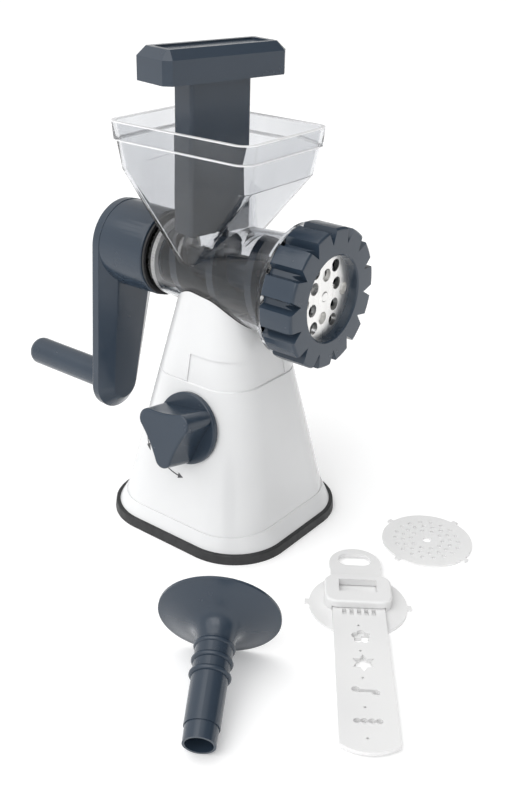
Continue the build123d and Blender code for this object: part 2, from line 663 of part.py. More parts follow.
# ================================================================ rear bearing and gasket
BUSH_THICKNESS = 3.0
BUSH_BORE_R = SHANK_R + 9.2
REAR_WALL_Y = BARREL_REAR_Y - REAR_WALL

with BuildPart() as rear_bush:
    with BuildSketch(auger_plane(REAR_WALL_Y)):
        Circle(BORE_REAR_R)
        Circle(BUSH_BORE_R, mode=Mode.SUBTRACT)
    extrude(amount=-BUSH_THICKNESS)
rear_bush.part.label = "rear_bush"
export_step(rear_bush.part, "parts/rear_bush.step")

GASKET_THICKNESS = 1.8
with BuildPart() as rear_gasket:
    with BuildSketch(auger_plane(BARREL_REAR_Y)):
        Circle(BARREL_REAR_R + 1.9)
        Circle(BARREL_REAR_R - 6.0, mode=Mode.SUBTRACT)
    extrude(amount=GASKET_THICKNESS)
    fillet(rear_gasket.edges().group_by(Axis.Y)[-1].sort_by(SortBy.LENGTH)[-1], 0.6)
rear_gasket.part.label = "rear_gasket"
export_step(rear_gasket.part, "parts/rear_gasket.step")

# ================================================================ ring nut
GROOVE = Polygon(
    (NUT_GROOVE_R, 1.5), (NUT_GROOVE_R, -1.5), (NUT_R + 1.5, -4.2), (NUT_R + 1.5, 4.2), align=None
)


def notch(y, root_r):
    """Wedge shaped notch section at y, its point at root_r."""
    with BuildSketch(auger_plane(y)) as wedge:
        with BuildLine():
            Polyline((root_r, 0), (NUT_R + 2, 4.6), (NUT_R + 2, -4.6), close=True)
        make_face()
    return wedge.sketch.face()


with BuildPart() as ring_nut:
    with BuildSketch(auger_plane(NUT_FACE_Y)):
        Circle(NUT_R)
    extrude(amount=NUT_LENGTH)
    fillet(ring_nut.edges(), 1.6)
    groove = Part() + [
        Solid.extrude(face, Vector(0, NUT_LENGTH + 2, 0))
        for face in (auger_plane(NUT_FACE_Y - 1) * GROOVE).faces()
    ]
    front_notch = Solid.make_loft([
        notch(NUT_FACE_Y - 0.1, NUT_NOTCH_R).outer_wire(),
        notch(NUT_FACE_Y + NUT_NOTCH_DEPTH, NUT_GROOVE_R + 1).outer_wire(),
    ])
    for index in range(NUT_GROOVES):
        turn = 180 - NUT_GROOVE_PHASE + index * 360 / NUT_GROOVES
        spot = Pos(0, 0, AXIS_Z) * Rot(0, turn, 0) * Pos(0, 0, -AXIS_Z)
        add(spot * groove, mode=Mode.SUBTRACT)
        add(spot * front_notch, mode=Mode.SUBTRACT)
    with BuildSketch(auger_plane(NUT_FACE_Y)):
        Circle(NUT_OPENING_R)
    extrude(amount=NUT_WEB, mode=Mode.SUBTRACT)
    chamfer(ring_nut.edges().filter_by(GeomType.CIRCLE).group_by(Axis.Y)[0], 0.8)
    with BuildSketch(auger_plane(NUT_FACE_Y + NUT_WEB)):
        Circle(THREAD_R + SEAT_GAP)
    extrude(amount=NUT_LENGTH, mode=Mode.SUBTRACT)
ring_nut.part.label = "ring_nut"
export_step(ring_nut.part, "parts/ring_nut.step")

# ================================================================ coarse plate and knife
def tabbed_disc(radius, tab_turn):
    """Sketch of a round plate with four small tabs on its rim."""
    with BuildSketch() as disc:
        Circle(radius)
        with PolarLocations(TAB_REACH - 2.5, 4, start_angle=tab_turn):
            Rectangle(5.0, TAB_WIDTH)
    return disc.sketch


with BuildPart() as coarse_plate:
    with BuildSketch(auger_plane(PLATE_REAR_Y)):
        add(tabbed_disc(PLATE_R, 45))
        Circle(PLATE_CENTRE_HOLE_R, mode=Mode.SUBTRACT)
        with PolarLocations(PLATE_INNER_RING, 6, start_angle=95):
            Circle(PLATE_HOLE_R, mode=Mode.SUBTRACT)
        with PolarLocations(PLATE_OUTER_RING, 6, start_angle=120):
            Circle(PLATE_HOLE_R, mode=Mode.SUBTRACT)
    extrude(amount=-PLATE_THICKNESS)
coarse_plate.part.label = "coarse_plate"
export_step(coarse_plate.part, "parts/coarse_plate.step")

with BuildPart() as knife_blade:
    with BuildSketch(auger_plane(PLATE_REAR_Y + 0.05)):
        Circle(9.0)
        with PolarLocations(0, 4):
            Polygon((0, -4.6), (KNIFE_R, -1.2), (KNIFE_R, 2.6), (0, 4.6), align=None)
        Rectangle(SQUARE + 0.1, SQUARE + 0.1, mode=Mode.SUBTRACT)
    extrude(amount=KNIFE_THICKNESS)
knife_blade.part.label = "knife_blade"
export_step(knife_blade.part, "parts/knife_blade.step")

# ================================================================ auger
AUGER_FRONT_Y = KNIFE_REAR_Y + 0.25
AUGER_DISC_Y = REAR_WALL_Y - 0.4
AUGER_DISC_FRONT_Y = AUGER_DISC_Y - AUGER_DISC_THICKNESS
FLIGHT_TRAVEL = AUGER_DISC_FRONT_Y - AUGER_FRONT_Y - FLIGHT_FRONT_INSET - FLIGHT_REAR_INSET
HEX_START_Y = CRANK_BOSS_Y + 4.0
HEX_END_Y = CRANK_ARM_Y
HEX_CORNER_R = HEX_FLATS / 2 / cos(radians(30))

with BuildPart() as auger:
    # a conical helix: the flight is widest at the knife
    flight_start = Vector(0, AUGER_FRONT_Y + FLIGHT_FRONT_INSET, AXIS_Z)
    flight_front_r = BORE_FRONT_R - 0.6 - FLIGHT_GAP
    flight_rear_r = BORE_REAR_R - FLIGHT_GAP
    cone = degrees(atan2(flight_rear_r - flight_front_r, FLIGHT_TRAVEL))
    with BuildLine():
        helix = Helix(FLIGHT_PITCH, FLIGHT_TRAVEL, flight_front_r, center=flight_start,
                      direction=(0, 1, 0), cone_angle=cone)
    outward = (helix @ 0 - flight_start).normalized()
    with BuildSketch(Plane(origin=helix @ 0, x_dir=outward, z_dir=helix % 0)):
        with Locations((-FLIGHT_DEPTH / 2, 0)):
            Rectangle(FLIGHT_DEPTH, FLIGHT_WIDTH)
    sweep(path=helix, is_frenet=True)
    add(turned([
        (0, AUGER_FRONT_Y),
        (CORE_FRONT_R, AUGER_FRONT_Y),
        (CORE_REAR_R, AUGER_DISC_FRONT_Y),
        (BUSH_BORE_R - RUNNING_FIT, AUGER_DISC_FRONT_Y),
        (BUSH_BORE_R - RUNNING_FIT, AUGER_DISC_Y),
        (SHANK_R, AUGER_DISC_Y),
        (SHANK_R, HEX_START_Y),
        (0, HEX_START_Y),
    ]))
    with BuildSketch(auger_plane(HEX_START_Y - 1)):
        RegularPolygon(HEX_CORNER_R, 6)
    extrude(amount=HEX_END_Y - HEX_START_Y + 1)
    with BuildSketch(auger_plane(AUGER_FRONT_Y)):
        Rectangle(SQUARE, SQUARE)
    extrude(amount=12.0, mode=Mode.SUBTRACT)
    with BuildSketch(auger_plane(HEX_END_Y)):
        Circle(2.4)
    extrude(amount=-14.0, mode=Mode.SUBTRACT)
auger.part.label = "auger"
export_step(auger.part, "parts/auger.step")

with BuildPart() as auger_pin:
    with BuildSketch(auger_plane(PLATE_REAR_Y + 0.2)):
        Rectangle(SQUARE, SQUARE)
    extrude(amount=AUGER_FRONT_Y + 12.0 - PLATE_REAR_Y - 0.2)
    chamfer(auger_pin.edges().filter_by(Axis.Y), 0.6)
    with BuildSketch(auger_plane(PLATE_REAR_Y + 0.2)):
        Circle(PLATE_CENTRE_HOLE_R - RUNNING_FIT)
    extrude(amount=-(PLATE_THICKNESS + 0.6))
    chamfer(auger_pin.edges().group_by(Axis.Y)[0], 0.6)
auger_pin.part.label = "auger_pin"
export_step(auger_pin.part, "parts/auger_pin.step")

# ================================================================ crank
def crank_outline(y, top_r, end_r):
    """Long tapering outline of the arm: a round head and a round end."""
    drop = CRANK_LENGTH
    with BuildSketch(crank_plane(y)) as outline:
        with Locations((0, 0)):
            Circle(top_r)
        with Locations((0, -drop)):
            Circle(end_r)
        make_hull()
    return outline.sketch.face()


HUB_DEPTH = CRANK_COVER_Y - CRANK_BOSS_Y
HEX_SLOT = HEX_FLATS / 2 + 0.05

with BuildPart() as crank_arm:
    loft(sections=[
        crank_outline(CRANK_ARM_Y, CRANK_FACE_TOP_R, CRANK_FACE_END_R),
        crank_outline(CRANK_COVER_Y, CRANK_BOSS_R - 0.4, CRANK_END_R - 0.4),
    ])
    fillet(crank_arm.faces().sort_by(Axis.Y)[0].edges(), 2.0)
    with BuildSketch(crank_plane(CRANK_COVER_Y)):
        Circle(CRANK_BOSS_R - 0.4)
    extrude(amount=-HUB_DEPTH, taper=0.6)
    fillet(crank_arm.faces().sort_by(Axis.Y)[0].edges(), 1.2)
    loft(sections=[
        crank_outline(CRANK_ARM_Y + CRANK_WALL, CRANK_FACE_TOP_R - CRANK_WALL,
                      CRANK_FACE_END_R - CRANK_WALL),
        crank_outline(CRANK_COVER_Y, CRANK_BOSS_R - 0.4 - CRANK_WALL,
                      CRANK_END_R - 0.4 - CRANK_WALL),
    ], mode=Mode.SUBTRACT)
    with BuildSketch(crank_plane(CRANK_COVER_Y)):
        Circle(CRANK_BOSS_R - 1.2 - CRANK_WALL)
    extrude(amount=-(HUB_DEPTH - CRANK_WALL), mode=Mode.SUBTRACT)
    with BuildSketch(crank_plane(CRANK_COVER_Y)):
        Circle(CRANK_HUB_R)
        Rectangle(2 * (CRANK_BOSS_R - 2), 2.2)
        Rectangle(2.2, 2 * (CRANK_BOSS_R - 2))
    extrude(amount=-(HUB_DEPTH - 1.0))
    with BuildSketch(crank_plane(CRANK_COVER_Y)):
        with Locations((0, -CRANK_LENGTH)):
            Circle(SPINDLE_R + 4.0)
    extrude(amount=-(CRANK_COVER_Y - CRANK_ARM_Y - 1.0))
    with BuildSketch(auger_plane(CRANK_BOSS_Y - 1)):
        Circle(SHANK_R + SEAT_GAP)
    extrude(amount=HEX_START_Y - CRANK_BOSS_Y + 1, mode=Mode.SUBTRACT)
    with BuildSketch(auger_plane(CRANK_BOSS_Y)):
        RegularPolygon(HEX_SLOT / cos(radians(30)), 6)
    extrude(amount=HEX_END_Y + 0.3 - CRANK_BOSS_Y, mode=Mode.SUBTRACT)
    with BuildSketch(auger_plane(CRANK_BOSS_Y)):
        Circle(2.7)
    extrude(amount=HUB_DEPTH, mode=Mode.SUBTRACT)
    with BuildSketch(crank_plane(CRANK_COVER_Y)):
        with Locations((0, -CRANK_LENGTH)):
            Circle(SPINDLE_R)
    extrude(amount=-(CRANK_COVER_Y - CRANK_ARM_Y - CRANK_WALL), mode=Mode.SUBTRACT)
crank_arm.part.label = "crank_arm"
export_step(crank_arm.part, "parts/crank_arm.step")

COVER_THICKNESS = CRANK_OUTER_Y - CRANK_COVER_Y
HEAD_SINK = 3.4
with BuildPart() as crank_cover:
    loft(sections=[
        crank_outline(CRANK_COVER_Y, CRANK_BOSS_R, CRANK_END_R),
        crank_outline(CRANK_OUTER_Y, CRANK_BOSS_R - 0.3, CRANK_END_R - 0.3),
    ])
    fillet(crank_cover.faces().sort_by(Axis.Y)[-1].edges(), 1.8)
    with BuildSketch(crank_plane(CRANK_OUTER_Y)):
        Circle(SCREW_HEAD_R + 0.4)
    extrude(amount=-HEAD_SINK, mode=Mode.SUBTRACT)
    with BuildSketch(crank_plane(CRANK_OUTER_Y)):
        Circle(2.7)
        with Locations((0, -CRANK_LENGTH)):
            Circle(SPINDLE_R)
    extrude(amount=-COVER_THICKNESS, mode=Mode.SUBTRACT)
crank_cover.part.label = "crank_cover"
export_step(crank_cover.part, "parts/crank_cover.step")

with BuildPart() as crank_screw:
    with BuildSketch(crank_plane(CRANK_OUTER_Y - HEAD_SINK)):
        Circle(SCREW_HEAD_R)
    extrude(amount=HEAD_SINK - 0.4)
    fillet(crank_screw.edges().sort_by(Axis.Y)[-1], 0.8)
    with BuildSketch(crank_plane(CRANK_OUTER_Y)):
        Rectangle(2 * SCREW_HEAD_R, 2.2)
    extrude(amount=-1.8, mode=Mode.SUBTRACT)
    with BuildSketch(crank_plane(CRANK_OUTER_Y - HEAD_SINK)):
        Circle(2.35)
    extrude(amount=-(CRANK_OUTER_Y - HEAD_SINK - HEX_END_Y + 12.0))
crank_screw.part.label = "crank_screw"
export_step(crank_screw.part, "parts/crank_screw.step")

# ---------------------------------------------------------------- grip
GRIP_END_Y = GRIP_START_Y + GRIP_LENGTH
SNAP_Y = GRIP_END_Y - 14.0
grip_hang = radians(CRANK_HANG)
GRIP_X = -CRANK_LENGTH * sin(grip_hang)
GRIP_Z = AXIS_Z - CRANK_LENGTH * cos(grip_hang)


def grip_plane(y):
    """Plane across the grip's own axis at y."""
    return Plane(origin=(GRIP_X, y, GRIP_Z), x_dir=(-1, 0, 0), z_dir=(0, 1, 0))


with BuildPart() as grip_spindle:
    with BuildSketch(grip_plane(CRANK_ARM_Y + CRANK_WALL)):
        Circle(SPINDLE_R)
    extrude(amount=SNAP_Y - CRANK_ARM_Y - CRANK_WALL)
    with BuildSketch(grip_plane(CRANK_OUTER_Y)):
        Circle(SPINDLE_COLLAR_R)
    extrude(amount=GRIP_START_Y - CRANK_OUTER_Y - 0.3)
    with BuildSketch(grip_plane(SNAP_Y - 1.0)):
        Circle(SPINDLE_R + 0.9)
    extrude(amount=4.0, taper=12)
grip_spindle.part.label = "grip_spindle"
export_step(grip_spindle.part, "parts/grip_spindle.step")

with BuildPart() as crank_grip:
    with BuildSketch(grip_plane(GRIP_START_Y)):
        Circle(GRIP_R)
    extrude(amount=GRIP_LENGTH)
    fillet(crank_grip.edges().sort_by(Axis.Y)[-1], 5.5)
    fillet(crank_grip.edges().sort_by(Axis.Y)[0], 1.2)
    with BuildSketch(grip_plane(GRIP_START_Y)):
        Circle(SPINDLE_R + RUNNING_FIT)
    extrude(amount=SNAP_Y - 1.6 - GRIP_START_Y, mode=Mode.SUBTRACT)
    with BuildSketch(grip_plane(SNAP_Y - 1.6)):
        Circle(SPINDLE_R + 1.2)
    extrude(amount=6.0, mode=Mode.SUBTRACT)
crank_grip.part.label = "crank_grip"
export_step(crank_grip.part, "parts/crank_grip.step")

# ================================================================ pusher
PUSHER_TIP_Z = AXIS_Z + PUSHER_TIP_R
CAP_Z = RIM_Z + CAP_RISE
CAP_TOP_Z = CAP_Z + CAP_HEIGHT


def pusher_plane(z):
    """Level plane at height z, turned with the pusher."""
    turn = radians(PUSHER_TURN)
    return Plane(origin=(PUSHER_X, PUSHER_Y, z), x_dir=(cos(turn), sin(turn), 0),
                 z_dir=(0, 0, 1))


with BuildPart() as pusher_shaft:
    with BuildSketch(pusher_plane(PUSHER_TIP_Z)):
        RectangleRounded(2 * SHAFT_HALF_X, 2 * SHAFT_HALF_Y, SHAFT_CORNER)
    extrude(amount=CAP_Z - PUSHER_TIP_Z)
    fillet(pusher_shaft.faces().sort_by(Axis.Z)[0].edges(), 1.2)
    with BuildSketch(pusher_plane(CAP_Z)):
        RectangleRounded(2 * (SHAFT_HALF_X - SHAFT_WALL), 2 * (SHAFT_HALF_Y - SHAFT_WALL), 0.8)
    extrude(amount=-(CAP_Z - PUSHER_TIP_Z - SHAFT_WALL), mode=Mode.SUBTRACT)
pusher_shaft.part.label = "pusher_shaft"
export_step(pusher_shaft.part, "parts/pusher_shaft.step")

with BuildPart() as pusher_cap:
    with BuildSketch(pusher_plane(CAP_Z)):
        Rectangle(2 * CAP_HALF_X, 2 * CAP_HALF_Y)
    extrude(amount=CAP_TOP_Z - CAP_Z)
    chamfer(pusher_cap.edges().filter_by(Axis.Z), CAP_CORNER)
    chamfer(pusher_cap.faces().sort_by(Axis.Z)[-1].edges(), length=CAP_HEIGHT - CAP_WALL_HEIGHT,
            length2=CAP_CHAMFER)
    with BuildSketch(pusher_plane(CAP_TOP_Z)):
        RectangleRounded(2 * (CAP_HALF_X - CAP_CHAMFER - 3.2), 2 * (CAP_HALF_Y - CAP_CHAMFER - 3.2),
                         1.5)
    extrude(amount=-1.0, mode=Mode.SUBTRACT)
    with BuildSketch(pusher_plane(CAP_Z)):
        RectangleRounded(2 * (SHAFT_HALF_X - SHAFT_WALL - 0.1),
                         2 * (SHAFT_HALF_Y - SHAFT_WALL - 0.1), 0.7)
    extrude(amount=-CAP_SINK)
pusher_cap.part.label = "pusher_cap"
export_step(pusher_cap.part, "parts/pusher_cap.step")

# ================================================================ loose accessories
with BuildPart() as fine_plate:
    with BuildSketch(Plane(origin=(FINE_X, FINE_Y, 0), z_dir=(0, 0, 1))):
        add(tabbed_disc(PLATE_R, FINE_TURN))
        Circle(2.6, mode=Mode.SUBTRACT)
        for ring_r, count in ((9.5, 10), (14.2, 16), (19.0, 18)):
            with PolarLocations(ring_r, count, start_angle=FINE_TURN):
                Circle(FINE_HOLE_R, mode=Mode.SUBTRACT)
    extrude(amount=FINE_THICKNESS)
fine_plate.part.label = "fine_plate"
export_step(fine_plate.part, "parts/fine_plate.step")

# The funnel lies on its flange rim and its tube end. Its section is drawn in
# its own frame, with the axis along local X, and turned about that axis.
tilt = radians(FUNNEL_TILT)
heading = radians(FUNNEL_HEADING)
funnel_axis = Vector(cos(tilt) * cos(heading), cos(tilt) * sin(heading), -sin(tilt))
funnel_up = Vector(sin(tilt) * cos(heading), sin(tilt) * sin(heading), cos(tilt))
FUNNEL_Z = FUNNEL_FLANGE_R * cos(tilt)
funnel_frame = Plane(origin=(FUNNEL_X, FUNNEL_Y, FUNNEL_Z), x_dir=funnel_axis,
                     z_dir=funnel_axis.cross(funnel_up))
NECK_R = FUNNEL_TUBE_R + 0.9
with BuildPart() as sausage_funnel:
    with BuildSketch(funnel_frame):
        with BuildLine():
            Line((0, FUNNEL_FLANGE_R - 2.2), (0, FUNNEL_FLANGE_R))
            Line((0, FUNNEL_FLANGE_R), (1.4, FUNNEL_FLANGE_R))
            Spline((1.4, FUNNEL_FLANGE_R), (5.6, 20.0), (9.0, 13.4), (FUNNEL_BELL_LENGTH, NECK_R),
                   tangents=[(0.25, -1), (1, -0.12)])
            Line((FUNNEL_BELL_LENGTH, NECK_R), (38.0, FUNNEL_TUBE_R + 0.3))
            Line((38.0, FUNNEL_TUBE_R + 0.3), (FUNNEL_LENGTH - 8.5, FUNNEL_TUBE_R))
            Line((FUNNEL_LENGTH - 8.5, FUNNEL_TUBE_R), (FUNNEL_LENGTH - 8.5, FUNNEL_TUBE_R - 0.5))
            Line((FUNNEL_LENGTH - 8.5, FUNNEL_TUBE_R - 0.5), (FUNNEL_LENGTH, FUNNEL_TUBE_R - 0.7))
            Line((FUNNEL_LENGTH, FUNNEL_TUBE_R - 0.7),
                 (FUNNEL_LENGTH, FUNNEL_TUBE_R - FUNNEL_WALL))
            Line((FUNNEL_LENGTH, FUNNEL_TUBE_R - FUNNEL_WALL),
                 (FUNNEL_BELL_LENGTH - 1, NECK_R - FUNNEL_WALL))
            Spline((FUNNEL_BELL_LENGTH - 1, NECK_R - FUNNEL_WALL), (7.4, 12.4), (3.8, 19.2),
                   (0, FUNNEL_FLANGE_R - 2.2), tangents=[(-1, 0.12), (-0.25, 1)])
        make_face()
    revolve(axis=Axis(funnel_frame.origin, funnel_axis))
    for bead_at in (20.0, 28.0, 35.5):
        with BuildSketch(funnel_frame):
            with Locations((bead_at, FUNNEL_TUBE_R + 0.4)):
                Circle(1.35)
        revolve(axis=Axis(funnel_frame.origin, funnel_axis))
    with BuildSketch(Plane(origin=funnel_frame.origin + funnel_axis * 10, z_dir=funnel_axis)):
        Circle(FUNNEL_TUBE_R - FUNNEL_WALL)
    extrude(amount=FUNNEL_LENGTH, mode=Mode.SUBTRACT)
sausage_funnel.part.label = "sausage_funnel"
export_step(sausage_funnel.part, "parts/sausage_funnel.step")


# ---------------------------------------------------------------- cookie disc and slide
def cookie_plane(z):
    """Level plane at height z over the cookie disc, local X towards the slide's loop."""
    turn = radians(COOKIE_HEADING + 180)
    return Plane(origin=(COOKIE_X, COOKIE_Y, z), x_dir=(cos(turn), sin(turn), 0), z_dir=(0, 0, 1))


SLIDE_Z = COOKIE_THICKNESS + 0.2
TUNNEL_HALF = SLIDE_WIDTH / 2 + 0.4
TUNNEL_TOP = SLIDE_Z + SLIDE_THICKNESS + 0.5

with BuildPart() as cookie_disc:
    with BuildSketch(cookie_plane(0)):
        add(tabbed_disc(PLATE_R, 87))
    extrude(amount=COOKIE_THICKNESS)
    with BuildSketch(cookie_plane(COOKIE_THICKNESS)):
        with Locations((BRIDGE_OFFSET, 0)):
            RectangleRounded(BRIDGE_LENGTH, BRIDGE_WIDTH, 7.0)
    extrude(amount=BRIDGE_HEIGHT - COOKIE_THICKNESS)
    fillet(cookie_disc.faces().sort_by(Axis.Z)[-1].edges(), 1.2)
    with BuildSketch(cookie_plane(COOKIE_THICKNESS)):
        with Locations((BRIDGE_OFFSET, 0)):
            Rectangle(2 * BRIDGE_LENGTH, 2 * TUNNEL_HALF)
    extrude(amount=TUNNEL_TOP - COOKIE_THICKNESS, mode=Mode.SUBTRACT)
    with BuildSketch(cookie_plane(0)):
        with Locations((BRIDGE_OFFSET + 2.2, 0)):
            Rectangle(WINDOW_LENGTH, WINDOW_WIDTH)
    extrude(amount=BRIDGE_HEIGHT, mode=Mode.SUBTRACT)
cookie_disc.part.label = "cookie_disc"
export_step(cookie_disc.part, "parts/cookie_disc.step")


def star_corners(outer_r, inner_r):
    """Corners of a six pointed star."""
    return [polar(outer_r if k % 2 == 0 else inner_r, 30 * k) for k in range(12)]


SHAPE_PITCH = 20.3      # from one cut-out of the slide to the next
FIRST_SHAPE = -10.0
DOT_R = 0.7
LOOP_X = SLIDE_HEAD - LOOP_WIDTH / 2
TAIL_BULGE = 5.0
TAIL_R = (SLIDE_WIDTH**2 / 4 + TAIL_BULGE**2) / (2 * TAIL_BULGE)

with BuildPart() as cookie_slide:
    with BuildSketch(cookie_plane(SLIDE_Z)):
        with Locations(((LOOP_X - SLIDE_TAIL) / 2, 0)):
            Rectangle(LOOP_X + SLIDE_TAIL, SLIDE_WIDTH)
        with BuildLine():
            Line((-SLIDE_TAIL, SLIDE_WIDTH / 2), (-SLIDE_TAIL, -SLIDE_WIDTH / 2))
            ThreePointArc((-SLIDE_TAIL, -SLIDE_WIDTH / 2), (-SLIDE_TAIL - TAIL_BULGE, 0),
                          (-SLIDE_TAIL, SLIDE_WIDTH / 2))
        make_face()
        with Locations((LOOP_X, 0)):
            Circle(LOOP_WIDTH / 2)
        with Locations((SLIDE_HEAD - LOOP_RIM - FINGER_SLOT / 2, 0)):
            SlotOverall(LOOP_WIDTH - 2 * LOOP_RIM, FINGER_SLOT, rotation=90, mode=Mode.SUBTRACT)
        # toothed row, flower, star, ribbon and scallops, with a dot after each
        with Locations((FIRST_SHAPE, 0)):
            with GridLocations(1, 4.0, 1, 5):
                Rectangle(5.0, 2.2, mode=Mode.SUBTRACT)
        with Locations((FIRST_SHAPE - SHAPE_PITCH, 0)):
            Circle(3.4, mode=Mode.SUBTRACT)
            with PolarLocations(3.2, 5):
                Circle(2.1, mode=Mode.SUBTRACT)
        with Locations((FIRST_SHAPE - 2 * SHAPE_PITCH, 0)):
            Polygon(*star_corners(6.4, 3.6), align=None, mode=Mode.SUBTRACT)
        with Locations((FIRST_SHAPE - 3 * SHAPE_PITCH, 0)):
            Rectangle(2.0, 8.0, mode=Mode.SUBTRACT)
            with Locations((1.0, 5.0), (-1.0, -5.0)):
                Circle(2.0, mode=Mode.SUBTRACT)
        with Locations((FIRST_SHAPE - 4 * SHAPE_PITCH, 0)):
            Rectangle(1.8, 12.0, mode=Mode.SUBTRACT)
            with GridLocations(1, 3.6, 1, 4):
                Circle(1.7, mode=Mode.SUBTRACT)
        for index in range(5):
            with Locations((FIRST_SHAPE - (index + 0.55) * SHAPE_PITCH, 1.0)):
                Circle(DOT_R, mode=Mode.SUBTRACT)
    extrude(amount=SLIDE_THICKNESS)
cookie_slide.part.label = "cookie_slide"
export_step(cookie_slide.part, "parts/cookie_slide.step")
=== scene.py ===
"""Studio picture of the hand crank meat grinder: camera, light, finishes and printed arrows.

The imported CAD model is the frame. Everything is in metres, +Z up, outlet towards -Y,
crank towards +Y, suction knob on the -X side.
"""

import json
import math

import bmesh
import bpy
from mathutils import Matrix, Vector
from mathutils.bvhtree import BVHTree


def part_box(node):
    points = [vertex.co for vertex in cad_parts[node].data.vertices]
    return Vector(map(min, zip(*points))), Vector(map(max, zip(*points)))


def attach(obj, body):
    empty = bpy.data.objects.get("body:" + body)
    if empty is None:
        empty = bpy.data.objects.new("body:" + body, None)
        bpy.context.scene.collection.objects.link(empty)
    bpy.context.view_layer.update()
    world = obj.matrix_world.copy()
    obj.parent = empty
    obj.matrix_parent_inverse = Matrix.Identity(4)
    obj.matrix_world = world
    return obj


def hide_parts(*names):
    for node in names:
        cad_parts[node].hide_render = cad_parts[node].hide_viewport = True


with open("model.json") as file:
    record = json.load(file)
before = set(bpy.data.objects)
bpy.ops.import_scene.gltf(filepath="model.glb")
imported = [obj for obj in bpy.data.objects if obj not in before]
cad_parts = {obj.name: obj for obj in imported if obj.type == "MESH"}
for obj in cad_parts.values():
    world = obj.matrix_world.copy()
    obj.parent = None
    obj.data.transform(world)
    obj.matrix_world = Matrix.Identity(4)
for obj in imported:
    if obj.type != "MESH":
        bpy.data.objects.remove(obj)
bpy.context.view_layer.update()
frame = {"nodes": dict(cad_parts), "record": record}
NODES = frame["nodes"]
SLOT_OF = {part["node"]: part["material_slot"] for part in frame["record"]["subparts"]}
BODY_OF = {node: body for body, held in frame["record"]["behaviour"]["bodies"].items()
           for node in held}

# ---------------------------------------------------------------- camera values
CAMERA_AZIMUTH = -52.81     # degrees, 0 looks along +Y
CAMERA_ELEVATION = 26.38
CAMERA_ROLL = 1.54
CAMERA_DISTANCE = 0.62582
CAMERA_SIDE_STEP = 0.01774  # aim point, to the right of the foot's centre
CAMERA_AIM_Z = 0.07397
LENS_MM = 46.298
SENSOR_MM = 36.0
CLIP_NEAR = 0.01
CLIP_FAR = 60.0

# ---------------------------------------------------------------- light values
WORLD_BRIGHT = 0.98         # the studio's radiance towards LIT_SIDE
WORLD_DIM = 0.12            # and on the opposite side
LIT_SIDE = (-0.75, 0.62, 0.22)
DIM_BELOW = -0.85           # dot product with LIT_SIDE at which the studio is dimmest
BRIGHT_ABOVE = 0.65         # and brightest
HAZE_TOP = 0.11             # sine of the height up to which the horizon is white
HAZE_FADE = 0.06
SUN_STRENGTH = 1.10
SUN_SPREAD = 70.0           # degrees, a very soft sun
SUN_HEADING = (0.55, -0.1, -1.0)
LIGHT_AIM = (0.0, 0.0, 0.13)
SOFTBOXES = {               # name: place, size, power in watts
    "key_softbox": ((-0.95, -0.35, 0.95), (0.8, 0.8), 2.2),
    "top_softbox": ((0.1, 0.1, 1.35), (1.2, 1.2), 1.6),
    "fill_softbox": ((0.55, -1.1, 0.55), (0.5, 0.9), 0.35),
}
FLOOR_SIZE = 60.0
FLOOR_GLOW = 0.15           # light that the white ground gives off itself

# ---------------------------------------------------------------- printed arrows
RELEASE_ARC = (0.0313, -113.0, -96.0)   # radius about the knob, start and end angle
LOCK_ARC = (0.0355, -158.0, -146.0)
ARROW_LINE = 0.0007
ARROW_HEAD_WIDTH = 0.0034
ARROW_HEAD_ANGLE = 7.0
ARROW_STEPS = 16            # spans along the arc
ARROW_HEAD_STEPS = 6
ARROW_TIP_HALF = 0.00005    # half width left at the very tip
INK_HEIGHT = 0.00012
RAY_START = 0.03            # how far off the wall the rays that find it start

# ---------------------------------------------------------------- clear body
PAINTED_GLINT_HALF = 0.0004          # half height of the painted highlight line on the rim and on its step
RIM_STEP_DROP = 0.0104      # the step's distance below the rim
PAINTED_GLINT_CLARITY = 0.25         # share of light that passes where the highlight line is painted
CLEAR_IOR = 1.40

# ---------------------------------------------------------------- rounded edges
EDGE_ROUNDS = {             # node: edge radius in metres
    "ring_nut": 0.0007,
    "pusher_cap": 0.0006,
    "crank_arm": 0.0004,
    "crank_cover": 0.0004,
}
EDGE_ANGLE = math.radians(30)
EDGE_SEGMENTS = 2
WELD_DISTANCE = 1e-6
FLAT_ANGLE = math.radians(0.5)  # faces nearer than this to one plane are joined


# ---------------------------------------------------------------- tones, each wandering
WHITE_TONES = ((0.70, 0.705, 0.71), (0.74, 0.745, 0.75))
SLATE_TONES = ((0.022, 0.035, 0.054), (0.028, 0.043, 0.064))
ACCESSORY_TONES = ((0.76, 0.76, 0.76), (0.80, 0.80, 0.795))
FOOT_TONES = ((0.014, 0.0145, 0.016), (0.024, 0.0245, 0.026))
GASKET_TONES = ((0.010, 0.010, 0.012), (0.020, 0.020, 0.023))
STEEL_TONES = ((0.80, 0.795, 0.78), (0.88, 0.875, 0.86))
NYLON_TONES = ((0.83, 0.82, 0.79), (0.90, 0.895, 0.87))
# grey of the clear plastic, partly its own tint and partly painted shade that makes its walls
# greyer
CLEAR_GREY_AND_SHADE_TONES = ((0.70, 0.71, 0.73), (0.79, 0.80, 0.815))
# colour of the painted highlight lines on the rim and its step
PAINTED_GLINT_TONE = (0.97, 0.97, 0.98)
INK_TONES = ((0.035, 0.036, 0.04), (0.09, 0.09, 0.095))
PAPER_TONES = ((0.93, 0.93, 0.93), (0.945, 0.945, 0.945))


# ================================================================ node helpers
def new_material(name):
    """An empty node material: (material, tree, principled shader)."""
    material = bpy.data.materials.new(name)
    material.use_nodes = True
    tree = material.node_tree
    return material, tree, tree.nodes["Principled BSDF"]


